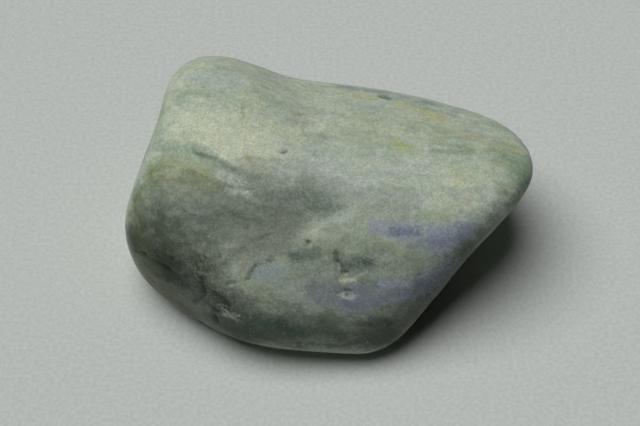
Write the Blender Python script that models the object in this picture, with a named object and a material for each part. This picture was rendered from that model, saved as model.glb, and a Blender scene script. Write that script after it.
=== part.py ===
"""A tumbled jade pebble lying on the small flat worn into its underside.

The stone began as a broken block. Each break left a face, and the river wore the edges between the
faces round. WORN_FACES names those faces, and reach() rounds the edges between them. The stone's
length runs along X, from its blunt end at -X to its beak at +X. Z is up. The origin is the middle
of the stone's bounding box, on the surface that the stone lies on.
"""

import math

import bmesh
import bpy
from mathutils import Vector

MM = 0.001

# How crisply two faces meet: at 4 the stone is nearly an egg, and at 20 its edges are still fresh.
CRISPNESS = 8.0

# Each face as its bearing round the stone (degrees, from +X towards +Y), its tilt above the
# horizon (degrees) and its distance from the stone's heart (mm).
WORN_FACES = {
    "top": (52, 78, 12.6),
    "shoulder": (266, 62, 13.8),
    "front_slope": (276, 36, 12.4),
    "left_slope": (228, 12, 21.0),
    "left_end": (167, 8, 27.1),
    "left_foot": (224, -30, 23.6),
    "front_foot": (262, -36, 18.2),
    "right_foot": (292, -38, 23.6),
    "lower_right": (324, -22, 19.5),
    "beak_front": (345, -10, 27.0),
    "beak_back": (50, 15, 34.6),
    "back": (80, 22, 26.3),
    "back_left_edge": (122, -14, 30.5),
    "underside": (270, -88, 9.8),
    "under_beak": (345, -48, 17.5),
    "under_back": (90, -50, 18.0),
}

# Low swells and hollows that the river left between the faces, each as its bearing and tilt, the
# spread it fades over (degrees), and its height (mm, below 0 for a hollow).
SWELLS = {
    "back_left_corner": (126, 27, 16, 4.6),
    "left_bulge": (187, 6, 16, 2.0),
    "beak": (13, 17, 14, 3.2),
    "beak_lip": (2, 9, 11, 0.7),
    "right_corner": (306, -36, 20, 1.5),
    "back_rim_hollow": (96, 24, 14, -1.4),
    "shoulder_valley": (222, 48, 16, -0.8),
}

# The stone's skin is an egg of triangles of the stone's own proportions, drawn out to its shape.
EGG_DETAIL = 5
EGG_HALF_SIZE = Vector((30, 23, 15)) * MM

# The last polish: how many times, and how strongly, each point is drawn towards its neighbours.
POLISH_PASSES = 2
POLISH_STRENGTH = 0.4

# The stone lies on a flat this deep into its underside.
REST_FLAT_DEPTH = 0.35 * MM

JADE_COLOUR = (0.33, 0.38, 0.31, 1.0)
JADE_ROUGHNESS = 0.45


def direction(bearing, tilt):
    """The unit vector that points out of the stone's heart at this bearing and tilt."""
    bearing, tilt = math.radians(bearing), math.radians(tilt)
    flat = math.cos(tilt)
    return Vector((flat * math.cos(bearing), flat * math.sin(bearing), math.sin(tilt)))


FACE_PLANES = [
    (direction(bearing, tilt), distance * MM)
    for bearing, tilt, distance in WORN_FACES.values()
]
SWELL_PEAKS = [
    (direction(bearing, tilt), math.radians(spread), height * MM)
    for bearing, tilt, spread, height in SWELLS.values()
]


def reach(ray):
    """How far the stone reaches from its heart along a unit ray, with the edges worn round."""
    total = sum(
        max(0.0, normal.dot(ray) / distance) ** CRISPNESS
        for normal, distance in FACE_PLANES
    )
    swell = sum(
        height * math.exp(-((ray.angle(peak) / spread) ** 2))
        for peak, spread, height in SWELL_PEAKS
    )
    return total ** (-1.0 / CRISPNESS) + swell


def clear_scene():
    for old in list(bpy.data.objects):
        bpy.data.objects.remove(old)


def egg():
    """A closed egg of near-even triangles round the stone's heart."""
    skin = bmesh.new()
    bmesh.ops.create_icosphere(skin, subdivisions=EGG_DETAIL, radius=1.0)
    bmesh.ops.scale(skin, vec=EGG_HALF_SIZE, verts=skin.verts[:])
    return skin


def wear_to_shape(skin):
    for vert in skin.verts:
        ray = vert.co.normalized()
        vert.co = ray * reach(ray)


def polish(skin):
    for _ in range(POLISH_PASSES):
        bmesh.ops.smooth_vert(
            skin,
            verts=skin.verts[:],
            factor=POLISH_STRENGTH,
            use_axis_x=True,
            use_axis_y=True,
            use_axis_z=True,
        )


def wear_rest_flat(skin):
    floor = min(vert.co.z for vert in skin.verts) + REST_FLAT_DEPTH
    for vert in skin.verts:
        vert.co.z = max(vert.co.z, floor)


def stand_on_origin(skin):
    """Moves the middle of the stone's bounding box over the origin, and its flat to Z 0."""
    low = Vector(min(vert.co[axis] for vert in skin.verts) for axis in range(3))
    high = Vector(max(vert.co[axis] for vert in skin.verts) for axis in range(3))
    foot = Vector(((low.x + high.x) / 2, (low.y + high.y) / 2, low.z))
    bmesh.ops.translate(skin, vec=-foot, verts=skin.verts[:])
    print("size in mm:", [round(side / MM, 2) for side in high - low])
    print("the stone's heart, in mm:", [round(side / MM, 2) for side in -foot])


def jade_material():
    material = bpy.data.materials.new("jade")
    material.use_nodes = True
    shader = material.node_tree.nodes["Principled BSDF"]
    shader.inputs["Base Color"].default_value = JADE_COLOUR
    shader.inputs["Roughness"].default_value = JADE_ROUGHNESS
    shader.inputs["Metallic"].default_value = 0.0
    return material


def make_stone():
    skin = egg()
    wear_to_shape(skin)
    polish(skin)
    wear_rest_flat(skin)
    stand_on_origin(skin)
    mesh = bpy.data.meshes.new("jade_stone")
    skin.to_mesh(mesh)
    skin.free()
    mesh.shade_smooth()
    mesh.materials.append(jade_material())
    stone = bpy.data.objects.new("jade_stone", mesh)
    bpy.context.scene.collection.objects.link(stone)
    return stone


def main():
    clear_scene()
    make_stone()


main()
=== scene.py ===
# %% [markdown]
# # A polished jade pebble
#
# The real thing is a river-worn lump of jade, about as long as a thumb. It was broken from its
# rock, rolled round by water, and then rubbed to a waxy polish. It is one solid piece of stone,
# so everything that makes it look like jade is in its skin: low swells, a few cracks and pits,
# and bands of mint, cream, olive, ochre and lavender mineral.
#
# This lesson keeps the stone's measured shape, which arrives as a plain solid, and makes a finer
# skin for it. The skin is then worn, cracked and coloured in the order in which that happened.

import math

import bmesh
import bpy
import numpy as np
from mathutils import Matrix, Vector, noise
from mathutils.bvhtree import BVHTree


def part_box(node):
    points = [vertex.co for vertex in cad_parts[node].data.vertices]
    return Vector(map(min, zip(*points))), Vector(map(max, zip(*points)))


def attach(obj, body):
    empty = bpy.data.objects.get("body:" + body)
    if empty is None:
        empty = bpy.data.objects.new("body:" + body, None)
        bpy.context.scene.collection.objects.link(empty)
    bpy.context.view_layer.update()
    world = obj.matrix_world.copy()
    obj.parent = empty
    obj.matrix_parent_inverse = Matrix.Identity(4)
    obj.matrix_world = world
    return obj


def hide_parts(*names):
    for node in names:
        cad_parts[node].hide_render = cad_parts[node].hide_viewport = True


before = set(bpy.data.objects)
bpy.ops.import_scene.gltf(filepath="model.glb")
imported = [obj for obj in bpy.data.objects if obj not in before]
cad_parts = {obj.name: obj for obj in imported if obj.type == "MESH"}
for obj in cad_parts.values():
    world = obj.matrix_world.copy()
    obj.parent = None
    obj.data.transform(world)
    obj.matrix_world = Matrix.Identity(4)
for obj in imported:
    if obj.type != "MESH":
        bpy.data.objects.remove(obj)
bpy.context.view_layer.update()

MM = 0.001
stone_low, stone_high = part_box("jade_stone")
stone_size = (stone_high - stone_low) / MM
print("stone size in mm:", [round(side, 1) for side in stone_size])

# %% [markdown]
# ## The camera
#
# A stone this small is looked at from close by and from well above, as when it lies on a table
# before you. A long lens keeps its outline natural. The camera is set up by its tilt, by where it
# aims, and by how wide a strip of table it sees there.

# %% Place the camera
LENS = 100.0  # mm
SENSOR = 36.0  # mm
CAMERA_TILT = math.radians(50)
VIEW_WIDTH = 94.1 * MM

camera_back = Vector((0, -math.cos(CAMERA_TILT), math.sin(CAMERA_TILT)))
camera_up = Vector((0, math.sin(CAMERA_TILT), math.cos(CAMERA_TILT)))
camera_aim = Vector((-1.43, 0, 10.01)) * MM - camera_up * 1.1 * MM

camera = bpy.data.objects.new("camera", bpy.data.cameras.new("camera"))
bpy.context.scene.collection.objects.link(camera)
camera.data.lens = LENS
camera.data.sensor_width = SENSOR
camera.data.clip_start = 0.01
camera.location = camera_aim + camera_back * VIEW_WIDTH * LENS / SENSOR
camera.rotation_euler = camera_back.to_track_quat("Z", "Y").to_euler()
bpy.context.scene.camera = camera
print("camera distance in mm:", round(VIEW_WIDTH * LENS / SENSOR / MM, 1))

# %% [markdown]
# ## Finding a place on the stone
#
# Every mark on the stone is placed from the stone's heart, by its bearing round the stone (degrees
# from the beak at +X, towards the back at +Y) and its tilt above the horizon. A ray from the heart
# at that bearing and tilt meets the skin in one point, which is the mark's place. The measured
# solid is made of loose triangles, so a copy of it is merged before any ray is sent out.

# %% Copy the measured solid and aim rays at it
HEART = Vector((0, -0.2, 10.8)) * MM

solid = bmesh.new()
solid.from_mesh(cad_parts["jade_stone"].data)
bmesh.ops.remove_doubles(solid, verts=solid.verts[:], dist=0.001 * MM)
SOLID_TREE = BVHTree.FromBMesh(solid)
print("measured solid:", len(solid.verts), "points")


def direction(bearing, tilt):
    """The unit vector out of the stone's heart at this bearing and tilt, in degrees."""
    bearing, tilt = math.radians(bearing), math.radians(tilt)
    flat = math.cos(tilt)
    return Vector((flat * math.cos(bearing), flat * math.sin(bearing), math.sin(tilt)))


def spot(bearing, tilt):
    """The place on the skin, in mm, at this bearing and tilt."""
    hit = SOLID_TREE.ray_cast(HEART, direction(bearing, tilt))[0]
    return np.array(hit) / MM


# %% [markdown]
# ## A finer skin
#
# The measured solid has triangles of a millimetre or more, too coarse to hold a crack. The fine
# skin starts as a box of the stone's own proportions, cut into small even squares. Each of its
# points is then sent out from the heart until it meets the solid, as if a net were shrunk onto it,
# and a few light smoothing passes take away the solid's facets. The cuts are closest to square
# when each side of the box has its own number of them.

# %% Cut a box into fine squares
SKIN_CUTS = {0: 181, 1: 134, 2: 78}  # along X, Y and Z
SKIN_SMOOTHING = 8

skin = bmesh.new()
bmesh.ops.create_cube(skin, size=2.0)
for axis, cuts in SKIN_CUTS.items():
    along = [
        edge for edge in skin.edges
        if abs(edge.verts[0].co[axis] - edge.verts[1].co[axis]) > 0.5
    ]
    bmesh.ops.subdivide_edges(skin, edges=along, cuts=cuts - 1, use_grid_fill=True)
print("skin squares:", len(skin.faces))

# %% Shrink the box onto the stone
half_size = stone_size / 2
for vert in skin.verts:
    even = Vector(math.tan(part * math.pi / 4) for part in vert.co)
    ray = Vector(part * half for part, half in zip(even, half_size)).normalized()
    vert.co = SOLID_TREE.ray_cast(HEART, ray)[0]
for _ in range(SKIN_SMOOTHING):
    bmesh.ops.smooth_vert(
        skin,
        verts=skin.verts[:],
        factor=0.5,
        use_axis_x=True,
        use_axis_y=True,
        use_axis_z=True,
    )
skin.verts.ensure_lookup_table()
skin_ends = [vert.co.x / MM for vert in skin.verts]
print("skin length in mm:", round(max(skin_ends) - min(skin_ends), 2))

# %% [markdown]
# ## Tools for wearing the skin
#
# A crack, a ledge and a pit are all made by one tool. It follows a path of spots over the skin and
# presses the skin in along it, with its own width on the back side and on the front side of the
# path. Equal widths make a groove, unequal ones make a ledge, and a path of one spot makes a pit.
# Natural cracks are never straight, so the skin's points are first jostled by smooth noise.

# %% Read the skin and jostle it
places = np.array([vert.co for vert in skin.verts]) / MM


def skin_normals():
    """Each skin point's normal, as the skin lies now."""
    skin.normal_update()
    return np.array([vert.normal for vert in skin.verts])


def noise_field(points, size, seed):
    """Smooth noise from -1 to 1 at each point, with lumps about size mm across."""
    shift = Vector((seed * 17.3, seed * 5.1, seed * 29.7))
    return np.array([noise.noise(Vector(point) / size + shift) for point in points])


def noise_vectors(points, size, seed):
    """Smooth noise vectors at each point, with lumps about size mm across.

    Blender seeds its vector noise from the clock, and noise.seed_set is not called here, so these
    vectors, and the cracks that they jostle, differ a little from run to run.
    """
    shift = Vector((seed * 13.9, seed * 31.1, seed * 7.7))
    return np.array([noise.noise_vector(Vector(point) / size + shift) for point in points])


JOSTLES = [(0.45, 2.2, 1), (0.15, 0.8, 2)]  # reach and lump size in mm, which noise
jostle = sum(reach * noise_vectors(places, size, seed) for reach, size, seed in JOSTLES)
print("largest jostle in mm:", round(float(np.abs(jostle).max()), 2))


# %% The path tool
def measure_path(points, path):
    """Each point's distance in mm from a path of spots, and its distance to the front of it."""
    spots = [spot(*place) for place in path]
    if len(spots) == 1:
        spots.append(spots[0] + np.array((0.01, 0, 0)))
    nearest = np.full(len(points), np.inf)
    front = np.zeros(len(points))
    for start, end in zip(spots, spots[1:]):
        run = end - start
        outward = (start + end) / 2 - np.array(HEART) / MM
        to_front = np.cross(run, outward)
        to_front /= np.linalg.norm(to_front)
        share = np.clip((points - start) @ run / (run @ run), 0, 1)
        gap = points - start - share[:, None] * run
        distance = np.linalg.norm(gap, axis=1)
        closer = distance < nearest
        nearest[closer] = distance[closer]
        front[closer] = (gap @ to_front)[closer]
    return nearest, front


def groove(path, depth, back_width, front_width, ragged=1.0):
    """How deep, in mm, a groove along the path presses in each point of the skin."""
    distance, front = measure_path(places + ragged * jostle, path)
    blend = np.clip(0.5 + front / (2 * min(back_width, front_width)), 0, 1)
    width = back_width + (front_width - back_width) * blend
    return depth * np.exp(-((distance / width) ** 2))


# %% [markdown]
# ## Swells from the river
#
# Water wears the softer bands of the stone a little faster than the hard ones, so a polished
# pebble is never a perfect curve: a low roll of a few tenths of a millimetre runs all over it. It
# shows as slow changes of light. Three sizes of smooth noise press the skin in and out.

# %% Wear the low swells
ROLLS = [(0.22, 9.0, 3), (0.06, 3.2, 4), (0.018, 1.2, 5)]  # height and lump size in mm, seed
swell = sum(height * noise_field(places, size, seed) for height, size, seed in ROLLS)
print("swells in mm:", round(float(swell.min()), 2), "to", round(float(swell.max()), 2))

# %% [markdown]
# ## Valleys and ledges
#
# Where the flat top turns down to the long front slope, a shallow valley runs across the
# shoulder, and a low step crosses it slantwise. They are old fracture steps, rounded by wear. A
# negative depth raises the skin instead, as it does for the crest of the step.

# %% Press in the valleys and ledges
BROAD_HOLLOWS = {
    # name: (path of bearings and tilts, depth, back width, front width), in mm
    "shoulder_valley": ([(207, 42), (226, 47), (246, 50), (270, 49)], 0.32, 2.0, 2.4),
    "front_step": (
        [(248, 29), (254, 35), (265, 42), (282, 47), (294, 51), (308, 53)], 0.26, 2.2, 1.1,
    ),
    "front_step_crest": ([(255, 26), (268, 35), (285, 41), (300, 46)], -0.07, 1.4, 2.2),
    "mint_ledge_slope": ([(183, 30), (190, 34), (199, 40), (212, 47)], 0.22, 0.5, 2.2),
    "left_foot_ledge": ([(203, 3), (211, 3), (222, 3), (232, -1)], 0.30, 0.8, 2.2),
    "chip_shelf": ([(262, 18), (276, 14), (290, 13)], 0.10, 1.2, 1.2),
    "back_valley": ([(132, 4), (112, 0), (95, -2)], 0.30, 2.2, 2.0),
    "back_step": ([(82, -8), (66, 0), (50, 2)], 0.26, 0.8, 2.0),
}
hollows = np.zeros(len(places))
for path, depth, back_width, front_width in BROAD_HOLLOWS.values():
    hollows += groove(path, depth, back_width, front_width)
print("deepest hollow in mm:", round(float(hollows.max()), 2))

# %% [markdown]
# ## Cracks and pits
#
# Jade is tough because its crystals are felted together, so it seldom splits. What it has are
# short healed cracks, which follow the boundary between two minerals, and small pits where one
# crystal fell out. Grime and shadow keep them dark. No crack is equally deep all along, so smooth
# noise lets each one come and go.

# %% Cut the cracks and pits
CRACKS = {
    # name: (path of bearings and tilts, depth, back width, front width), in mm
    "crease_start": ([(180, 27), (181, 31), (185, 33)], 0.07, 0.22, 0.5),
    "crease": ([(185, 34), (187, 38), (191, 39), (194, 41), (197, 42)], 0.15, 0.28, 0.55),
    "crease_end": ([(197, 42), (204, 46), (213, 50)], 0.06, 0.25, 0.5),
    "olive_crease": ([(193, 28), (195, 30), (197, 30)], 0.07, 0.25, 0.45),
    "speckled_edge": ([(198, 40), (203, 38), (205, 35), (210, 36)], 0.10, 0.25, 0.4),
    "foot_crack_left": ([(203, 3), (207, 4), (211, 5), (213, 2), (215, 2)], 0.34, 0.32, 0.60),
    "foot_crack_hook": (
        [(217, 4), (219, 7), (222, 7), (223, 6), (224, 0), (222, -4)], 0.32, 0.36, 0.50,
    ),
    "foot_crack_right": ([(224, 6), (228, 4), (232, 1), (234, 0)], 0.34, 0.34, 0.55),
    "foot_crack_low": ([(224, -1), (228, -3), (232, -3), (237, -4)], 0.24, 0.25, 0.5),
    "slope_wrinkle": ([(227, 14), (229, 19), (232, 24), (237, 28)], 0.08, 0.40, 0.50),
    "chip_edge": ([(243, 20), (240, 18), (237, 16), (236, 13), (236, 10)], 0.16, 0.22, 0.28),
    "front_crack": ([(250, -5), (254, -7), (258, -8)], 0.24, 0.24, 0.34),
    "step_edge": ([(268, 42), (274, 44), (281, 47)], 0.08, 0.30, 0.25),
    "green_cleft": ([(273, 23), (274, 20), (276, 17), (278, 14)], 0.12, 0.30, 0.35),
    "front_nick": ([(275, -3), (278, -4), (281, -5)], 0.22, 0.24, 0.32),
    "front_nick_right": ([(286, -7), (290, -8), (294, -8)], 0.20, 0.22, 0.32),
    "rim_notch": ([(63, 21), (60, 20)], 0.55, 0.45, 0.60),
    "rim_scar": ([(42, 18), (38, 16)], 0.12, 0.30, 0.40),
    "rim_scar_left": ([(94, 21), (89, 21)], 0.12, 0.30, 0.40),
    "hairline": ([(8, 62), (6, 57), (5, 53)], 0.05, 0.16, 0.16),
    "back_crack": ([(126, 6), (118, 3), (111, 2), (104, -3)], 0.22, 0.30, 0.45),
    "back_crack_branch": ([(111, 2), (106, 5), (102, 6)], 0.14, 0.25, 0.35),
    "back_hook": ([(80, -2), (76, -6), (77, -10), (72, -14)], 0.20, 0.30, 0.40),
    "left_end_crack": ([(172, -2), (166, -5), (160, -4), (155, -8)], 0.18, 0.28, 0.45),
    "beak_under_crack": ([(352, -4), (346, -8), (341, -7), (335, -12)], 0.18, 0.28, 0.45),
}
PITS = {
    "long_pit": ([(182, 63), (186, 61)], 0.36, 0.30, 0.34),
    "long_pit_dot": ([(194, 56)], 0.18, 0.18, 0.18),
    "front_pit": ([(257, 28)], 0.40, 0.30, 0.32),
    "green_pit": ([(274, 19)], 0.34, 0.26, 0.28),
    "green_pit_low": ([(276, 14), (279, 14)], 0.30, 0.22, 0.24),
    "foot_pit": ([(229, -6), (230, -8)], 0.40, 0.40, 0.46),
    "left_pit": ([(212, 9)], 0.28, 0.26, 0.28),
    "left_pit_high": ([(209, 10)], 0.20, 0.28, 0.28),
    "middle_pit": ([(224, 16)], 0.24, 0.24, 0.26),
    "middle_pit_low": ([(231, 8), (233, 8)], 0.20, 0.24, 0.25),
    "chip_pit": ([(276, 6), (279, 6)], 0.24, 0.22, 0.26),
    "lavender_pit": ([(309, 8)], 0.22, 0.20, 0.22),
    "plateau_dot": ([(12, 26)], 0.14, 0.16, 0.16),
    "plateau_dot_left": ([(358, 42)], 0.12, 0.15, 0.15),
    "back_dot": ([(52, 37)], 0.12, 0.15, 0.15),
    "back_pit": ([(98, 8), (96, 6)], 0.34, 0.34, 0.38),
    "back_pit_low": ([(121, -10)], 0.30, 0.30, 0.32),
    "back_pit_right": ([(63, 6)], 0.26, 0.26, 0.26),
    "left_end_pit": ([(181, 6)], 0.22, 0.24, 0.26),
}
come_and_go = np.clip(0.8 + 1.1 * noise_field(places, 1.3, 8), 0.15, 1.3)
cuts = np.zeros(len(places))
for path, depth, back_width, front_width in CRACKS.values():
    cuts = np.maximum(cuts, come_and_go * groove(path, depth, back_width, front_width))
for path, depth, back_width, front_width in PITS.values():
    cuts = np.maximum(cuts, groove(path, depth, back_width, front_width, ragged=0.6))
print("cracks and pits:", len(CRACKS) + len(PITS), "deepest in mm:", round(float(cuts.max()), 2))

# %% [markdown]
# ## Chipped patches
#
# In a few places a flake of the skin came away after polishing. A chip is shallow and flat, with a
# rough bottom that scatters light, so it looks whiter than the polish round it. Noise breaks each
# chip into a few crumbs, because jade comes away crystal by crystal.

# %% Break the chips
CHIPS = {
    # name: (path of bearings and tilts, depth, half width), in mm
    "white_flecks": ([(208, 36), (212, 39)], 0.14, 0.50),
    "speckled_patch": ([(199, 38), (205, 40)], 0.06, 0.90),
    "cream_chip": ([(276, 11), (281, 11)], 0.16, 0.40),
    "cream_chip_run": ([(281, 11), (288, 13)], 0.06, 0.18),
    "low_chip": ([(274, 5), (279, 4)], 0.20, 0.50),
    "foot_chip": ([(232, -3), (236, -3)], 0.18, 0.55),
    "foot_chip_high": ([(231, 8), (234, 8)], 0.10, 0.35),
    "scratch": ([(217, 21), (219, 21)], 0.05, 0.14),
    "chip_by_pit": ([(274, 17), (276, 15)], 0.14, 0.35),
    "back_chip": ([(92, -6), (88, -7)], 0.18, 0.80),
    "beak_chip": ([(30, 0), (27, -2)], 0.14, 0.60),
}
CHIP_RAGGED = 0.7
CHIP_REACH = 1.35  # how far a chip reaches, and how far it fades, in half widths
CHIP_FADE = 0.6
chip_depth = np.zeros(len(places))
chip_mask = np.zeros(len(places))
crumbs = np.clip(0.9 + 2.4 * noise_field(places, 0.55, 9), 0, 1)
for path, depth, half_width in CHIPS.values():
    distance, _ = measure_path(places + CHIP_RAGGED * jostle, path)
    mask = crumbs * np.clip((CHIP_REACH - distance / half_width) / CHIP_FADE, 0, 1)
    chip_mask = np.maximum(chip_mask, mask)
    chip_depth = np.maximum(chip_depth, depth * mask)
print("chipped points:", int((chip_mask > 0.5).sum()))

# %% Press everything into the skin
places += (swell - hollows)[:, None] * skin_normals()
for vert, place in zip(skin.verts, places):
    vert.co = Vector(place) * MM
places -= (cuts + chip_depth)[:, None] * skin_normals()

REST_FLAT_EDGE = 0.05  # mm
near_floor = places[:, 2] < REST_FLAT_EDGE
places[near_floor, 2] = 0.0
for vert, place in zip(skin.verts, places):
    vert.co = Vector(place) * MM
print("points on the resting flat:", int(near_floor.sum()))

# %% Finish the pebble's mesh
pebble_mesh = bpy.data.meshes.new("jade_pebble")
skin.to_mesh(pebble_mesh)
pebble_mesh.shade_smooth()
# Cracks and pits are painted darker the deeper they are, for grime and for shade in the hollow.
FULL_GRIME_AND_SHADE_DEPTH = 0.3  # mm
grime_and_shade_mask = np.clip(cuts / FULL_GRIME_AND_SHADE_DEPTH, 0, 1)
for name, values in {"hollow": grime_and_shade_mask, "chip": chip_mask}.items():
    attribute = pebble_mesh.attributes.new(name, "FLOAT", "POINT")
    attribute.data.foreach_set("value", values.astype(np.float32))
pebble = bpy.data.objects.new("jade_pebble", pebble_mesh)
bpy.context.scene.collection.objects.link(pebble)
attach(pebble, "root")
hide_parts("jade_stone")
print("pebble faces:", len(pebble_mesh.polygons))


# %% [markdown]
# ## A bench for joining nodes
#
# A material is a tree of nodes, and most of the code that builds one only adds a node and joins
# its sockets. This small bench does both at once: a value that is a socket is joined, and a value
# that is a number, colour or vector is typed into the socket.

# %% The bench
class Bench:
    def __init__(self, tree):
        self.tree = tree

    def put(self, node, name, value):
        socket = node.inputs[name]
        if isinstance(value, bpy.types.NodeSocket):
            self.tree.links.new(value, socket)
        else:
            socket.default_value = value

    def add(self, kind, inputs=None, **settings):
        node = self.tree.nodes.new("ShaderNode" + kind)
        for name, value in settings.items():
            setattr(node, name, value)
        for name, value in (inputs or {}).items():
            self.put(node, name, value)
        return node

    def math(self, operation, first, second=0.0):
        return self.add("Math", {0: first, 1: second}, operation=operation).outputs[0]

    def vector(self, operation, first, second=(0, 0, 0)):
        node = self.add("VectorMath", {0: first, 1: second}, operation=operation)
        return node.outputs["Value" if operation in ("DOT_PRODUCT", "LENGTH") else "Vector"]

    def scale(self, vector, factor):
        node = self.add("VectorMath", {0: vector, "Scale": factor}, operation="SCALE")
        return node.outputs["Vector"]

    def ramp(self, value, low, high, low_to=0.0, high_to=1.0):
        """An S-shaped ramp. It stops at both ends by itself, so its clamp stays off."""
        inputs = {
            "Value": value, "From Min": low, "From Max": high, "To Min": low_to, "To Max": high_to,
        }
        node = self.add("MapRange", inputs, interpolation_type="SMOOTHSTEP", clamp=False)
        return node.outputs["Result"]

    def noise(self, place, per_mm, detail=2.0, roughness=0.5):
        inputs = {"Vector": place, "Scale": per_mm, "Detail": detail, "Roughness": roughness}
        return self.add("TexNoise", inputs)

    def cells(self, place, per_mm):
        return self.add("TexVoronoi", {"Vector": place, "Scale": per_mm})

    def mix(self, factor, first, second, blend="MIX"):
        node = self.add("Mix", data_type="RGBA", blend_type=blend, clamp_factor=True)
        self.put(node, 0, factor)
        self.put(node, 6, first)
        self.put(node, 7, second)
        return node.outputs[2]

    def group(self, tree, inputs):
        node = self.add("Group", node_tree=tree)
        for name, value in inputs.items():
            self.put(node, name, value)
        return node


def new_group(name, inputs, outputs):
    """An empty node group with these sockets. Returns its bench, its input and output nodes."""
    tree = bpy.data.node_groups.new(name, "ShaderNodeTree")
    for socket, kind in inputs.items():
        tree.interface.new_socket(socket, in_out="INPUT", socket_type="NodeSocket" + kind)
    for socket, kind in outputs.items():
        tree.interface.new_socket(socket, in_out="OUTPUT", socket_type="NodeSocket" + kind)
    bench = Bench(tree)
    entry = tree.nodes.new("NodeGroupInput")
    leave = tree.nodes.new("NodeGroupOutput")
    return bench, entry.outputs, leave


# %% [markdown]
# ## Wavy boundaries
#
# Mineral bands in jade were squeezed and folded while hot, so their edges wave, and up close one
# band gives way to the next crystal by crystal. Both are made by moving the place that a pattern
# is read from: slow noise bends it, and a jump at each crystal frays it.

# %% Group: wavy place
bench, wavy_in, leave = new_group(
    "Wavy Place",
    {"Place": "Vector", "Bend": "Float", "Fray": "Float"},
    {"Place": "Vector"},
)
centre = (0.5, 0.5, 0.5)
slow = bench.vector("SUBTRACT", bench.noise(wavy_in["Place"], 0.20).outputs["Color"], centre)
quick = bench.vector("SUBTRACT", bench.noise(wavy_in["Place"], 0.9).outputs["Color"], centre)
jump = bench.vector("SUBTRACT", bench.cells(wavy_in["Place"], 2.6).outputs["Color"], centre)
bent = bench.vector("ADD", wavy_in["Place"], bench.scale(slow, wavy_in["Bend"]))
bent = bench.vector("ADD", bent, bench.scale(quick, bench.math("MULTIPLY", wavy_in["Bend"], 0.45)))
bent = bench.vector("ADD", bent, bench.scale(jump, wavy_in["Fray"]))
bench.put(leave, "Place", bent)
WAVY_PLACE = bench.tree

# %% [markdown]
# ## A vein
#
# Every coloured patch is a vein: it runs from a start to an end, has a width at each, and fades
# out over its edge. A patch that is nearly round is only a short, wide vein. The group finds the
# nearest place on the vein's line, and compares the distance from it with the width there.
# "Along" is the run divided by its length squared: its dot product with a place gives the share
# of the run that is behind that place. The share is kept from 0 to 1 by a maximum and a minimum.
# A Math node's own clamp would do the same, but the renderer works all such clamps out last and
# keeps every unfinished vein in mind until then, and its memory for a shader is small.

# %% Group: vein
bench, vein_in, leave = new_group(
    "Vein",
    {
        "Place": "Vector", "Start": "Vector", "Run": "Vector", "Along": "Vector",
        "Start Width": "Float", "Widening": "Float", "Outer": "Float", "Inner": "Float",
        "Strength": "Float", "Broken Up": "Float",
    },
    {"Mask": "Float"},
)
gap = bench.vector("SUBTRACT", vein_in["Place"], vein_in["Start"])
share = bench.math("MAXIMUM", bench.vector("DOT_PRODUCT", gap, vein_in["Along"]), 0.0)
share = bench.math("MINIMUM", share, 1.0)
off = bench.vector("LENGTH", bench.vector("SUBTRACT", gap, bench.scale(vein_in["Run"], share)))
widening = bench.math("MULTIPLY", vein_in["Widening"], share)
width = bench.math("ADD", vein_in["Start Width"], widening)
ratio = bench.math("DIVIDE", off, width)
inside = bench.ramp(ratio, vein_in["Outer"], vein_in["Inner"])
broken = bench.math("MULTIPLY", inside, vein_in["Broken Up"])
bench.put(leave, "Mask", bench.math("MULTIPLY", broken, vein_in["Strength"]))
VEIN = bench.tree

# %% [markdown]
# ## Sugar grain
#
# Close to, jade looks like packed sugar: each crystal catches the light a little differently, and
# here and there one lies so that it flashes white. Cells of a Voronoi texture stand for the
# crystals, a fifth of a millimetre across, and a few of the larger cells hold in their middle
# either a dark speck or one of the pale flecks, which are partly white crystals and partly a
# painted glint for the flash.

# %% Group: sugar grain
bench, grain_in, leave = new_group(
    "Sugar Grain", {"Place": "Vector"}, {"Grain": "Float", "Fleck And Glint": "Float", "Speck": "Float"}
)
FINE_CRYSTALS = 5.2  # per mm
COARSE_CRYSTALS = 2.7
FLECK_CRYSTALS = 1.7
fine_crystal = bench.cells(grain_in["Place"], FINE_CRYSTALS).outputs["Color"]
coarse_crystal = bench.cells(grain_in["Place"], COARSE_CRYSTALS).outputs["Color"]
fine_tone = bench.vector("DOT_PRODUCT", fine_crystal, (0.5, 0.5, 0.0))
coarse_tone = bench.vector("DOT_PRODUCT", coarse_crystal, (0.5, 0.5, 0.0))
fine_share = bench.math("MULTIPLY", fine_tone, 0.7)
coarse_share = bench.math("MULTIPLY", coarse_tone, 0.3)
tone = bench.math("ADD", fine_share, coarse_share)
bench.put(leave, "Grain", bench.ramp(tone, 0.15, 0.85, -1.0, 1.0))
fleck_cells = bench.cells(grain_in["Place"], FLECK_CRYSTALS)
fleck_pick = bench.vector("DOT_PRODUCT", fleck_cells.outputs["Color"], (1.0, 0.0, 0.0))
is_fleck_and_glint = bench.math("GREATER_THAN", fleck_pick, 0.90)
near_middle = bench.ramp(fleck_cells.outputs["Distance"], 0.20, 0.08)
fleck_and_glint = bench.math("MULTIPLY", is_fleck_and_glint, near_middle)
bench.put(leave, "Fleck And Glint", fleck_and_glint)
is_speck = bench.math("LESS_THAN", fleck_pick, 0.05)
speck = bench.math("MULTIPLY", is_speck, near_middle)
bench.put(leave, "Speck", speck)
SUGAR_GRAIN = bench.tree

# %% [markdown]
# ## Streaks and drifts
#
# Pressure made the crystals lie along the stone, so the minerals drift into one another in streaks
# that run from end to end. A Mapping node of the Texture kind turns the pattern first and then
# stretches it along the streaks. A drift is one mineral scattered through that pattern: it has its
# own grain size, how much of the stone it covers, and how softly it begins.

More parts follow.
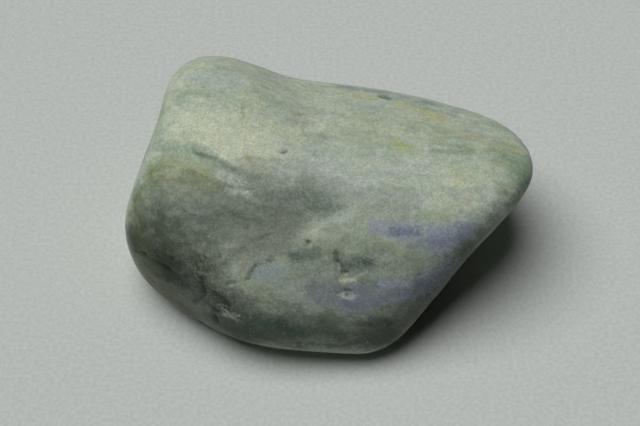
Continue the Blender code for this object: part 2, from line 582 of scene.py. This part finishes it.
# %% Group: drift
bench, drift_in, leave = new_group(
    "Drift",
    {
        "Place": "Vector", "Shift": "Vector", "Per mm": "Float",
        "Cover": "Float", "Softness": "Float",
    },
    {"Mask": "Float"},
)
STREAK_TURN = (0.0, math.radians(4), math.radians(-11))
STREAK_STRETCH = (2.3, 1.0, 1.0)
turned = bench.add(
    "Mapping",
    {"Vector": drift_in["Place"], "Rotation": STREAK_TURN, "Scale": STREAK_STRETCH},
    vector_type="TEXTURE",
).outputs["Vector"]
shifted = bench.vector("ADD", turned, drift_in["Shift"])
cloud = bench.noise(shifted, drift_in["Per mm"], 4.0, 0.6).outputs[0]
level = bench.math("SUBTRACT", 1.0, drift_in["Cover"])
low = bench.math("SUBTRACT", level, drift_in["Softness"])
high = bench.math("ADD", level, drift_in["Softness"])
bench.put(leave, "Mask", bench.ramp(cloud, low, high))
DRIFT = bench.tree

# %% [markdown]
# ## The ground colour
#
# Under the bands the stone is a pale grey-green. Five minerals drift through it: broad green
# clouds, mint green, a milky blue-white, a yellowish cream and a darker grey-green.

# %% Start the jade material
jade = bpy.data.materials.new("polished_jade")
jade.use_nodes = True
jade.node_tree.nodes.clear()
bench = Bench(jade.node_tree)

object_place = bench.add("TexCoord").outputs["Object"]
place = bench.scale(object_place, 1 / MM)
wavy = bench.group(WAVY_PLACE, {"Place": place, "Bend": 3.2, "Fray": 0.35}).outputs["Place"]
crisp = bench.group(WAVY_PLACE, {"Place": place, "Bend": 1.0, "Fray": 0.25}).outputs["Place"]
grain = bench.group(SUGAR_GRAIN, {"Place": place}).outputs


def drift(shift, per_mm, cover, softness):
    """How much of one drifting mineral there is. The shift sets its pattern apart."""
    inputs = {
        "Place": crisp, "Shift": (shift, 2 * shift, 3 * shift), "Per mm": per_mm,
        "Cover": cover, "Softness": softness,
    }
    return bench.group(DRIFT, inputs).outputs["Mask"]


PALE_GROUND = (0.49, 0.555, 0.455)
GREEN_DRIFT = (0.38, 0.47, 0.36)
MINT_DRIFT = (0.36, 0.48, 0.36)
BLUE_WHITE_DRIFT = (0.52, 0.57, 0.54)
CREAM_DRIFT = (0.56, 0.59, 0.42)
GREY_GREEN_DRIFT = (0.32, 0.38, 0.31)

DRIFTS = [
    # (name, shift, patterns per mm, cover, softness, strength, colour)
    ("green_clouds", 3.0, 0.13, 0.50, 0.14, 0.80, GREEN_DRIFT),
    ("mint", 11.0, 0.34, 0.46, 0.10, 0.45, MINT_DRIFT),
    ("blue_white", 19.0, 0.28, 0.46, 0.10, 0.50, BLUE_WHITE_DRIFT),
    ("cream", 27.0, 0.40, 0.45, 0.09, 0.50, CREAM_DRIFT),
    ("grey_green", 35.0, 0.60, 0.46, 0.10, 0.40, GREY_GREEN_DRIFT),
]
colour = (*PALE_GROUND, 1)
for _, shift, per_mm, cover, softness, strength, tint in DRIFTS:
    mask = bench.math("MULTIPLY", drift(shift, per_mm, cover, softness), strength)
    colour = bench.mix(mask, colour, (*tint, 1))
print("drifting minerals:", len(DRIFTS))

# %% [markdown]
# ## The broad mineral bands, and painted shade
#
# Each band is listed with its place, its widths, how soft its edge is, how strong its colour is
# and how it is broken up. Green comes from iron, cream and ochre from weathering, lavender from a
# trace of manganese. A few bands are painted shade, wholly or in part, on the slopes, at the foot
# and under the stone. The bands are laid down in the order of their lists, each over the ones
# before it, like glazes. Every list has the columns of the first one.

# %% Choose the colours
# Pale minerals.
CREAM = (0.59, 0.635, 0.48)
YELLOW_CREAM = (0.42, 0.45, 0.27)
STRAW_CREAM = (0.55, 0.56, 0.38)
PALE_YELLOW = (0.54, 0.57, 0.40)
BLUE_WHITE = (0.46, 0.52, 0.50)
COOL_WHITE = (0.50, 0.56, 0.52)

# Greens.
MINT = (0.285, 0.375, 0.265)
BRIGHT_MINT = (0.38, 0.50, 0.38)
SEA_GREEN = (0.245, 0.34, 0.225)
MOSS_GREEN = (0.19, 0.27, 0.17)
DARK_GREEN = (0.10, 0.15, 0.10)
BOTTLE_GREEN = (0.06, 0.105, 0.078)
DEEP_GREEN = (0.070, 0.100, 0.066)
# The bottom's black-green: partly the stone's own colour, partly painted shade where it turns
# under.
BLACK_GREEN_AND_SHADE = (0.042, 0.062, 0.042)
DULL_GREEN = (0.215, 0.25, 0.195)
# Painted shade for the front slope and the lower right edge.
FRONT_SHADE_GREEN = (0.13, 0.16, 0.13)
LOW_SHADE_GREEN = (0.062, 0.078, 0.058)

# Olives.
STRAW_OLIVE = (0.30, 0.33, 0.22)
PALE_OLIVE = (0.31, 0.36, 0.22)
OLIVE = (0.21, 0.25, 0.13)
BROWN_OLIVE = (0.10, 0.12, 0.052)
DEEP_OLIVE = (0.065, 0.082, 0.050)
DARK_OLIVE = (0.024, 0.035, 0.017)

# Greys.
GREY_GREEN = (0.155, 0.19, 0.152)
GREY_BROWN = (0.23, 0.25, 0.20)
SOFT_GREY = (0.21, 0.245, 0.205)
COOL_GREY = (0.30, 0.34, 0.34)
BLUE_GREY = (0.355, 0.42, 0.40)
RIM_GREY = (0.25, 0.275, 0.32)
# Painted shade for the foot and the upper left slope.
FOOT_SHADE_GREY = (0.095, 0.11, 0.09)
LEFT_SHADE_GREY = (0.065, 0.08, 0.062)
FOOT_GREY = (0.105, 0.13, 0.10)
PALE_FOOT_GREY = (0.115, 0.14, 0.105)
COOL_FOOT_GREY = (0.11, 0.135, 0.11)

# Lavenders.
PALE_LAVENDER = (0.36, 0.39, 0.43)
LAVENDER = (0.305, 0.34, 0.475)
DIM_LAVENDER = (0.20, 0.225, 0.30)
DEEP_LAVENDER = (0.155, 0.18, 0.26)
DARK_LAVENDER = (0.085, 0.10, 0.135)

# Weathered spots.
OCHRE = (0.50, 0.50, 0.285)
RUST = (0.34, 0.29, 0.10)
YELLOW_GREEN = (0.38, 0.43, 0.13)
PINK = (0.46, 0.445, 0.36)
TAN = (0.33, 0.335, 0.245)
OLIVE_BROWN = (0.10, 0.095, 0.042)
RUSTY_BROWN = (0.24, 0.20, 0.12)
# Painted shade for the underside and under the beak.
UNDERSIDE_SHADE_BROWN = (0.09, 0.085, 0.07)
UNDER_BEAK_SHADE_BROWN = (0.075, 0.07, 0.06)

print("palest mineral:", CREAM, "darkest:", DARK_OLIVE)

# %% Choose what breaks the bands up
grainy_noise = bench.noise(place, 2.4, 3.0, 0.7).outputs[0]
grainy = bench.ramp(grainy_noise, 0.32, 0.66, 0.35, 1.15)
specks = bench.ramp(grainy_noise, 0.50, 0.58)
slow_drift = drift(43.0, 0.9, 0.5, 0.2)
quick_drift = drift(51.0, 0.7, 0.5, 0.12)
mottled = drift(59.0, 0.75, 0.50, 0.07)
mottled_apart = drift(67.0, 0.80, 0.48, 0.07)
SOLID = 1.0  # not broken up at all
even = bench.ramp(slow_drift, 0.0, 1.0, 0.75, 1.15)
streaky = bench.ramp(quick_drift, 0.0, 1.0, 0.35, 1.2)

# The drifts nudge the edges of the bands too, so that an edge follows the mottling beside it.
nudge = bench.add("CombineXYZ", {0: slow_drift, 1: quick_drift, 2: mottled}).outputs[0]
nudge = bench.vector("SUBTRACT", nudge, centre)
wavy = bench.vector("ADD", wavy, bench.scale(nudge, 0.9))
crisp = bench.vector("ADD", crisp, bench.scale(nudge, 0.35))


# %% Lay a list of bands over the colour
def lay_bands(colour, where, bands):
    """Lays each band over the colour so far: most bands are minerals, a few are painted shade. The
    widths are half widths, in mm.
    """
    for _, start, end, start_width, end_width, edge, strength, tint, broken_up in bands:
        start = spot(*start)
        run = spot(*end) - start
        inputs = {
            "Place": where, "Start": start, "Run": run, "Along": run / (run @ run),
            "Start Width": start_width, "Widening": end_width - start_width,
            "Outer": 1 + edge, "Inner": 1 - edge, "Strength": strength, "Broken Up": broken_up,
        }
        mask = bench.group(VEIN, inputs).outputs["Mask"]
        colour = bench.mix(mask, colour, (*tint, 1))
    return colour


# %% Bands of the flat top
TOP_BANDS = [
    # (name, start, end, start width, end width, edge, strength, colour, broken up by), in mm
    ("cream_corner", (168, 33), (183, 50), 3.4, 4.2, 0.8, 0.90, CREAM, even),
    ("cream_run", (160, 46), (118, 62), 2.6, 1.6, 0.9, 0.36, CREAM, streaky),
    ("blue_corner", (147, 26), (140, 34), 1.5, 1.6, 0.8, 0.55, BLUE_WHITE, streaky),
    ("blue_plateau", (215, 66), (330, 42), 3.4, 3.6, 0.8, 0.50, BLUE_WHITE, streaky),
    ("green_streak", (155, 26), (150, 33), 0.9, 0.6, 0.8, 0.65, MINT, even),
    ("left_rim_green", (176, 20), (163, 22), 1.8, 1.2, 0.8, 0.60, MINT, even),
    ("yellow_plateau", (98, 43), (22, 33), 4.2, 3.8, 0.9, 0.50, PALE_YELLOW, mottled_apart),
    ("mint_band", (178, 26), (193, 38), 1.0, 1.6, 0.7, 0.90, MINT, even),
    ("mint_bright", (184, 31), (187, 34), 0.8, 0.8, 0.9, 0.45, BRIGHT_MINT, streaky),
    ("olive_window", (191, 25), (202, 34), 2.8, 2.5, 0.7, 0.92, OLIVE, even),
    ("yellow_under_crease", (190, 29), (194, 33), 1.1, 0.9, 0.8, 0.60, YELLOW_CREAM, streaky),
]
colour = lay_bands(colour, wavy, TOP_BANDS)
print("bands on the top:", len(TOP_BANDS))

# %% [markdown]
# The end that faces left and the shoulder above it are of a darker, greyer mineral, which turns
# to a near-black olive at the foot. Where it is darkest the mask is solid, so that none of the
# pale ground shines through. The bands left_shade and foot_shade are painted shade, laid over
# the slope and the foot.

# %% Bands of the left slope and its foot
LEFT_BANDS = [
    ("left_slope_grey", (203, 19), (232, 36), 4.4, 3.2, 0.8, 0.85, GREY_GREEN, even),
    ("shoulder_grey", (203, 44), (250, 53), 2.6, 3.4, 0.9, 0.60, GREY_GREEN, even),
    ("shoulder_grey_right", (250, 51), (318, 38), 3.2, 2.2, 0.9, 0.60, SOFT_GREY, even),
    ("shoulder_dark", (207, 41), (246, 51), 1.6, 1.8, 0.9, 0.50, DARK_GREEN, even),
    ("shoulder_dark_right", (246, 51), (276, 49), 1.8, 1.2, 0.9, 0.50, DARK_GREEN, even),
    # Painted shade on the upper left slope.
    ("left_shade", (211, 26), (240, 42), 4.0, 3.4, 0.9, 0.25, LEFT_SHADE_GREY, even),
    ("grey_window", (231, 22), (246, 30), 2.0, 2.6, 0.8, 0.85, GREY_BROWN, even),
    # Painted shade on the foot.
    ("foot_shade", (234, 3), (254, -2), 2.2, 2.0, 0.9, 0.55, FOOT_SHADE_GREY, even),
    ("tan_patch", (232, 17), (235, 10), 0.9, 0.8, 0.7, 0.75, TAN, even),
    ("dark_slope_high", (206, 14), (221, 17), 3.0, 2.6, 0.9, 0.42, DEEP_OLIVE, even),
    ("dark_slope", (202, 10), (222, 11), 4.0, 3.0, 0.8, 0.82, DEEP_OLIVE, even),
    ("dark_left_foot", (199, 4), (213, 3), 3.2, 3.2, 0.8, 0.92, DARK_OLIVE, SOLID),
    ("dark_foot_right", (213, 2), (231, 1), 2.9, 2.5, 0.85, 0.88, DARK_OLIVE, SOLID),
    ("left_edge_olive", (192, 16), (205, 1), 1.7, 1.5, 0.9, 0.60, BROWN_OLIVE, even),
    ("dark_under_left", (204, -11), (238, -11), 4.0, 3.2, 0.85, 0.82, DARK_OLIVE, SOLID),
]
colour = lay_bands(colour, wavy, LEFT_BANDS)
print("bands on the left:", len(LEFT_BANDS))

# %% Bands of the foot
FOOT_BANDS = [
    # The bottom: partly its own black-green, partly painted shade where it turns under.
    ("bottom_green_and_shade", (236, -7), (290, -11), 3.4, 2.7, 0.8, 0.90, BLACK_GREEN_AND_SHADE, SOLID),
    # Painted shade on the front slope and along the lower right edge.
    ("front_shade", (250, 12), (322, 8), 4.0, 3.8, 0.9, 0.38, FRONT_SHADE_GREEN, even),
    ("low_right_shade", (292, -11), (328, 7), 3.6, 2.6, 0.8, 0.90, LOW_SHADE_GREEN, SOLID),
    ("crack_green", (244, -3), (258, -8), 1.3, 1.3, 0.8, 0.80, BOTTLE_GREEN, streaky),
]
colour = lay_bands(colour, wavy, FOOT_BANDS)
print("bands on the foot:", len(FOOT_BANDS))

# %% Bands of the front and the beak
FRONT_BANDS = [
    ("bench_olive", (296, 19), (317, 12), 2.0, 1.8, 0.95, 0.60, DULL_GREEN, streaky),
    ("front_grey", (268, 8), (300, -2), 2.6, 2.2, 0.9, 0.50, GREY_GREEN, streaky),
    ("upper_olive", (30, 28), (14, 22), 2.0, 2.0, 0.9, 0.70, PALE_OLIVE, mottled),
    ("tip_mint", (5, 19), (0, 13), 2.8, 3.0, 0.8, 0.85, SEA_GREEN, even),
    ("tip_edge_green", (329, 13), (354, 11), 2.2, 2.5, 0.95, 0.78, DEEP_GREEN, SOLID),
]
colour = lay_bands(colour, wavy, FRONT_BANDS)
print("bands on the front:", len(FRONT_BANDS))

# %% [markdown]
# The back, the blunt end and the underside carry on with the same minerals. On the underside
# and under the beak a dark brown is painted as shade, which keeps the light that the stone throws
# into its shadow on the table dark and not green.

# %% Bands of the back and the underside
BACK_BANDS = [
    ("back_mint", (148, 4), (108, 6), 3.6, 3.0, 0.8, 0.70, MINT, streaky),
    ("back_cream", (104, 15), (66, 8), 2.2, 1.8, 0.8, 0.60, CREAM, mottled),
    ("back_olive", (130, -8), (92, -12), 3.0, 3.4, 0.8, 0.75, OLIVE, streaky),
    ("back_dark", (150, -18), (112, -26), 3.0, 2.6, 0.8, 0.80, DEEP_OLIVE, even),
    ("back_lavender", (92, 2), (62, -4), 1.0, 1.8, 0.7, 0.85, LAVENDER, grainy),
    ("back_lavender_core", (84, 0), (70, -3), 0.5, 0.7, 0.8, 0.80, DEEP_LAVENDER, grainy),
    ("back_right_green", (52, -8), (24, -10), 2.6, 3.0, 0.8, 0.70, DARK_GREEN, streaky),
    ("left_end_olive", (186, -4), (160, -6), 3.0, 2.4, 0.8, 0.75, OLIVE, streaky),
    ("underside_shade", (215, -42), (320, -38), 7.0, 6.5, 0.8, 0.85, UNDERSIDE_SHADE_BROWN, even),
    ("under_beak_shade", (322, -24), (8, -20), 6.5, 5.5, 0.8, 0.92, UNDER_BEAK_SHADE_BROWN, even),
    ("underside_pale", (120, -60), (40, -55), 3.6, 3.0, 0.9, 0.60, BLUE_WHITE, mottled),
]
colour = lay_bands(colour, wavy, BACK_BANDS)
print("bands on the back:", len(BACK_BANDS))

# %% [markdown]
# ## The lavender bands and small marks
#
# Two lavender bands cross the lower front and spread towards the beak, and small spots of ochre,
# green and white are scattered over the top. They wander less than the broad bands do, so they
# are read from a place that waves less.

# %% Lavender bands
LAVENDER_BANDS = [
    ("lavender_start", (297, 33), (311, 27), 0.7, 1.1, 0.9, 0.80, LAVENDER, grainy),
    ("lavender_middle", (311, 27), (322, 19), 1.2, 2.0, 0.9, 0.80, LAVENDER, grainy),
    ("lavender_end", (322, 19), (331, 18), 1.9, 1.4, 0.9, 0.75, LAVENDER, grainy),
    ("lavender_core", (306, 29), (315, 25), 0.5, 0.7, 0.9, 0.70, DEEP_LAVENDER, grainy),
    ("lavender_core_right", (318, 19), (327, 16), 0.9, 0.8, 0.9, 0.60, DEEP_LAVENDER, grainy),
    ("low_lavender", (262, 6), (280, 3), 1.4, 2.0, 0.9, 0.80, DIM_LAVENDER, grainy),
    ("low_lavender_end", (280, 3), (296, 3), 2.0, 1.5, 0.9, 0.75, DIM_LAVENDER, grainy),
    ("low_lavender_core", (278, 2), (289, 1), 0.8, 0.8, 0.95, 0.55, DEEP_LAVENDER, grainy),
    ("lavender_wisp", (294, 7), (302, 6), 0.6, 0.5, 0.8, 0.70, LAVENDER, grainy),
    ("lavender_by_edge", (300, 2), (320, 7), 1.3, 1.6, 0.8, 0.80, DIM_LAVENDER, grainy),
    ("lavender_by_edge_core", (307, 3), (319, 4), 1.2, 1.5, 0.9, 0.75, DARK_LAVENDER, grainy),
]
colour = lay_bands(colour, crisp, LAVENDER_BANDS)
print("lavender bands:", len(LAVENDER_BANDS))

# %% [markdown]
# On the front there is one odd mark: an oval window of blue-grey mineral with a dark healed crack
# round its upper edge. Next to it lie three spots of bottle green and a flake of cream.

# %% Marks of the front
FRONT_MARKS = [
    ("green_spot_left", (252, 21), (262, 24), 0.9, 0.8, 0.9, 0.70, BOTTLE_GREEN, even),
    ("green_spot", (273, 22), (276, 18), 0.9, 0.8, 0.9, 0.70, BOTTLE_GREEN, even),
    ("green_spot_right", (279, 18), (290, 17), 0.9, 0.8, 0.9, 0.70, BOTTLE_GREEN, even),
    ("green_over_lavender", (320, 30), (329, 25), 0.6, 0.7, 0.8, 0.60, MINT, even),
    ("yellow_over_lavender", (327, 29), (333, 25), 0.8, 0.7, 0.9, 0.45, OCHRE, mottled),
    ("olive_by_step", (262, 30), (276, 30), 1.1, 1.1, 0.9, 0.40, STRAW_OLIVE, streaky),
    ("blue_chip", (239.5, 13.5), (246, 14.5), 1.65, 1.45, 0.28, 0.92, BLUE_GREY, SOLID),
    ("blue_chip_edge", (242, 19), (237, 16), 0.28, 0.28, 0.8, 0.75, DARK_GREEN, SOLID),
    ("blue_chip_edge_low", (237, 16), (236, 10), 0.28, 0.24, 0.8, 0.75, DARK_GREEN, SOLID),
    ("cream_flake", (276, 11), (282, 11), 0.5, 0.4, 0.5, 0.90, STRAW_CREAM, grainy),
    ("cream_flake_low", (276, 8), (279, 8), 0.5, 0.4, 0.8, 0.60, TAN, grainy),
]
colour = lay_bands(colour, crisp, FRONT_MARKS)
print("marks on the front:", len(FRONT_MARKS))

# %% Marks of the top and the rim
TOP_MARKS = [
    ("ochre_rim", (81, 27), (66, 25), 1.2, 1.1, 0.9, 0.80, OCHRE, mottled),
    ("rim_lavender", (84, 20), (64, 17), 1.0, 0.8, 0.9, 0.65, RIM_GREY, streaky),
    ("rim_lavender_right", (56, 17), (36, 12), 0.9, 0.8, 0.9, 0.65, RIM_GREY, streaky),
    ("faint_lavender", (68, 33), (56, 28), 1.0, 0.9, 0.95, 0.40, PALE_LAVENDER, mottled),
    ("orange_run", (50, 23), (32, 19), 1.1, 1.4, 0.9, 0.80, OCHRE, mottled),
    ("yellow_spot", (22, 42), (10, 39), 0.9, 1.1, 0.95, 0.60, YELLOW_GREEN, even),
    ("yellow_hint", (356, 30), (347, 27), 0.9, 0.9, 0.9, 0.45, OCHRE, mottled_apart),
    ("green_run", (10, 30), (5, 25), 1.2, 1.3, 0.95, 0.60, MOSS_GREEN, mottled),
    ("green_run_tip", (6, 23), (6, 17), 0.6, 0.7, 0.8, 0.60, MINT, mottled_apart),
    ("beak_ochre", (22, 19), (8, 16), 1.5, 1.3, 0.9, 0.75, OCHRE, mottled),
    ("beak_pink", (20, 21), (10, 18), 1.3, 1.3, 0.9, 0.60, PINK, mottled_apart),
    ("beak_grey", (20, 19), (14, 17), 0.9, 0.9, 0.95, 0.50, COOL_GREY, streaky),
    ("brown_by_edge", (341, 25), (337, 22), 0.7, 0.6, 0.9, 0.50, PINK, even),
    ("ochre_fleck_back", (147, 40), (158, 43), 0.16, 0.30, 0.7, 0.85, RUST, grainy),
    ("ochre_fleck", (119, 48), (113, 48), 0.36, 0.26, 0.8, 0.95, RUST, grainy),
    ("green_fleck", (128, 36), (125, 37), 0.30, 0.20, 0.8, 0.70, OLIVE, grainy),
    ("ochre_fleck_pit", (193, 78), (188, 78), 0.34, 0.28, 0.8, 0.90, RUST, grainy),
    ("ochre_fleck_cream", (192, 47), (194, 47), 0.40, 0.34, 0.8, 0.85, RUST, grainy),
    ("ochre_fleck_crease", (185, 40), (186, 41), 0.25, 0.25, 0.8, 0.60, RUST, grainy),
    ("ochre_fleck_olive", (194, 35), (196, 35), 0.35, 0.30, 0.8, 0.75, RUST, grainy),
    ("green_line", (136, 52), (119, 56), 0.7, 0.6, 0.95, 0.30, DARK_GREEN, streaky),
    ("green_line_low", (134, 64), (107, 70), 0.6, 0.6, 0.95, 0.30, DARK_GREEN, streaky),
    ("pale_line", (90, 47), (104, 61), 0.40, 0.45, 0.8, 0.75, CREAM, grainy),
    ("crease_green", (184, 34), (198, 42), 0.45, 0.60, 0.9, 0.55, DARK_GREEN, streaky),
]
colour = lay_bands(colour, crisp, TOP_MARKS)
print("marks on the top:", len(TOP_MARKS))

# %% [markdown]
# The specks texture turns a band into a scatter of white crystals, like sugar spilt on the stone.
# It lies thinly over the front and the shoulder, and thickly in the chipped places.

# %% Sugar, and stains on the foot
SUGAR_AND_STAINS = [
    ("front_sugar", (224, 10), (314, 9), 4.6, 4.2, 0.9, 0.20, COOL_WHITE, specks),
    ("shoulder_sugar", (205, 42), (292, 50), 3.0, 3.0, 0.9, 0.16, COOL_WHITE, specks),
    ("white_sugar", (198, 38), (206, 41), 1.1, 0.9, 0.7, 0.75, COOL_WHITE, specks),
    ("white_sugar_low", (208, 36), (213, 40), 0.5, 0.5, 0.8, 0.85, COOL_WHITE, specks),
    ("white_sugar_foot", (231, -2), (237, -3), 0.6, 0.6, 0.8, 0.60, COOL_WHITE, specks),
    ("white_sugar_front", (273, 5), (280, 4), 0.6, 0.6, 0.8, 0.70, COOL_WHITE, specks),
    ("foot_grey", (216, 6), (224, -1), 0.9, 0.8, 0.9, 0.55, FOOT_GREY, streaky),
    ("foot_grey_low", (226, -5), (236, -6), 0.8, 0.9, 0.9, 0.60, PALE_FOOT_GREY, streaky),
    ("foot_brown", (200, -4), (216, -11), 1.3, 1.3, 0.95, 0.75, OLIVE_BROWN, even),
    ("bottom_grey", (262, -5), (288, -8), 1.0, 1.2, 0.9, 0.50, COOL_FOOT_GREY, streaky),
    ("foot_rust", (205, -16), (232, -18), 0.8, 0.8, 0.9, 0.60, RUSTY_BROWN, even),
]
colour = lay_bands(colour, crisp, SUGAR_AND_STAINS)
print("sugar and stains:", len(SUGAR_AND_STAINS))

# %% Marks of the back
BACK_MARKS = [
    ("back_ochre", (75, 12), (52, 8), 0.8, 0.9, 0.8, 0.80, OCHRE, mottled),
    ("back_green_spot", (112, -3), (103, -5), 0.8, 0.7, 0.8, 0.80, BOTTLE_GREEN, grainy),
    ("back_white_sugar", (93, -6), (87, -8), 0.9, 0.8, 0.8, 0.70, COOL_WHITE, specks),
]
colour = lay_bands(colour, crisp, BACK_MARKS)
print("marks on the back:", len(BACK_MARKS))

# %% [markdown]
# ## Grain, grime with painted shade, and chips
#
# The grain lightens and darkens the colour crystal by crystal. Cracks and pits were marked on the
# skin while they were cut, as the attribute "hollow", and chips as "chip", so the material knows
# exactly where to darken, for grime and painted shade in the hollow, and where to whiten.

# %% Add grain, grime with painted shade, and chips to the colour
# The pale flecks are partly white crystals and partly painted glints.
FLECK_AND_GLINT_WHITE = (0.68, 0.73, 0.65, 1)
SPECK_GREEN = (0.07, 0.10, 0.07, 1)
CHIP_WHITE = (0.56, 0.61, 0.53, 1)
# Grime and painted shade for cracks and pits.
GRIME_AND_SHADE = (0.022, 0.034, 0.022, 1)
GRAIN_CONTRAST = 0.14
CLOUD_CONTRAST = 0.07

clouds = bench.noise(place, 1.0, 4.0, 0.65).outputs[0]
cloudy_grain = bench.ramp(clouds, 0.3, 0.7, 1 - CLOUD_CONTRAST, 1 + CLOUD_CONTRAST)
grain_lift = bench.ramp(grain["Grain"], -1.0, 1.0, 1 - GRAIN_CONTRAST, 1 + GRAIN_CONTRAST)
grain_lift = bench.math("MULTIPLY", grain_lift, cloudy_grain)
grain_tint = bench.add("CombineXYZ", {0: grain_lift, 1: grain_lift, 2: grain_lift}).outputs[0]
grained = bench.mix(1.0, colour, grain_tint, "MULTIPLY")
# Pale flecks: partly white crystals, partly painted glints.
grained = bench.mix(bench.math("MULTIPLY", grain["Fleck And Glint"], 0.42), grained, FLECK_AND_GLINT_WHITE)
grained = bench.mix(bench.math("MULTIPLY", grain["Speck"], 0.18), grained, SPECK_GREEN)
chip = bench.add("Attribute", attribute_name="chip").outputs["Fac"]
hollow = bench.add("Attribute", attribute_name="hollow").outputs["Fac"]
grained = bench.mix(bench.math("MULTIPLY", chip, 0.50), grained, CHIP_WHITE)
# Cracks and pits darkened for grime and painted shade.
grained = bench.mix(bench.math("MULTIPLY", hollow, 0.60), grained, GRIME_AND_SHADE)

# %% [markdown]
# ## The waxy polish
#
# Polished jade is satin, not glassy: a roughness near 0.5 spreads its highlight. Light also sinks
# a millimetre or so into the stone before it comes out again, which is what subsurface scattering
# does. A very fine bump stands for the crystals that the polish left proud.

# %% Finish the jade material
polish_clouds = bench.noise(place, 0.35, 3.0).outputs[0]
roughness = bench.ramp(polish_clouds, 0.3, 0.7, 0.44, 0.56)
roughness = bench.math("ADD", roughness, bench.math("MULTIPLY", chip, 0.3))
proud_crystals = bench.math("MULTIPLY", grain["Grain"], 0.15)
fine_relief = bench.math("ADD", bench.noise(place, 3.2, 3.0, 0.6).outputs[0], proud_crystals)
relief = bench.add("Bump", {"Height": fine_relief, "Distance": 0.025 * MM, "Strength": 0.35})

shader = bench.add("BsdfPrincipled", {"Base Color": grained, "Roughness": roughness})
bench.put(shader, "Normal", relief.outputs[0])
shader.inputs["IOR"].default_value = 1.5
shader.inputs["Specular IOR Level"].default_value = 0.28
shader.inputs["Subsurface Weight"].default_value = 0.15
shader.inputs["Subsurface Radius"].default_value = (1.0, 1.1, 0.8)
shader.inputs["Subsurface Scale"].default_value = 0.8 * MM
output = bench.add("OutputMaterial")
bench.put(output, "Surface", shader.outputs[0])
pebble_mesh.materials.append(jade)
print("nodes in the jade material:", len(jade.node_tree.nodes))

# %% [markdown]
# ## Table and light
#
# The stone lies on a plain pale table under one wide, soft light above it, which leans to the
# left and very slightly to the back. The room is dim, so the sides of the stone fall into shade
# and only the light from the table fills them.

# %% The table
TABLE_HALF = 3.0

table = bmesh.new()
bmesh.ops.create_grid(table, x_segments=1, y_segments=1, size=TABLE_HALF)
table_mesh = bpy.data.meshes.new("table")
table.to_mesh(table_mesh)
floor = bpy.data.objects.new("table", table_mesh)
bpy.context.scene.collection.objects.link(floor)

cloth = bpy.data.materials.new("pale_table")
cloth.use_nodes = True
cloth.node_tree.nodes.clear()
bench = Bench(cloth.node_tree)
place = bench.scale(bench.add("TexCoord").outputs["Object"], 1 / MM)
WEAVE_DARK = (0.53, 0.56, 0.545, 1)
WEAVE_PALE = (0.61, 0.64, 0.62, 1)
weave = bench.noise(place, 1.6, 3.0, 0.6).outputs[0]
table_colour = bench.mix(bench.ramp(weave, 0.3, 0.7), WEAVE_DARK, WEAVE_PALE)
shader = bench.add("BsdfPrincipled", {"Base Color": table_colour, "Roughness": 0.8})
relief = bench.add("Bump", {"Height": weave, "Distance": 0.06 * MM, "Strength": 0.6})
bench.put(shader, "Normal", relief.outputs[0])
bench.put(bench.add("OutputMaterial"), "Surface", shader.outputs[0])
table_mesh.materials.append(cloth)

# %% The light
LIGHT_LEAN_BACK = math.radians(3)
LIGHT_LEAN_LEFT = math.radians(17)
light_from = Vector((-math.tan(LIGHT_LEAN_LEFT), math.tan(LIGHT_LEAN_BACK), 1))

key = bpy.data.objects.new("soft_light", bpy.data.lights.new("soft_light", "SUN"))
bpy.context.scene.collection.objects.link(key)
key.data.energy = 2.55
key.data.angle = math.radians(50)
key.data.color = (1.0, 1.0, 0.985)
key.rotation_euler = light_from.to_track_quat("Z", "Y").to_euler()

# %% The dim room
world = bpy.data.worlds.new("dim_room")
bpy.context.scene.world = world
world.use_nodes = True
world.node_tree.nodes.clear()
bench = Bench(world.node_tree)
seen = bench.add("LightPath").outputs["Is Camera Ray"]
room = bench.add("Background", {"Color": (1.0, 0.85, 0.65, 1), "Strength": 0.005})
backdrop = bench.add("Background", {"Color": (0.44, 0.46, 0.45, 1), "Strength": 1.0})
either = bench.add("MixShader", {0: seen, 1: room.outputs[0], 2: backdrop.outputs[0]})
bench.put(bench.add("OutputWorld"), "Surface", either.outputs[0])
bpy.context.scene.view_settings.view_transform = "Standard"
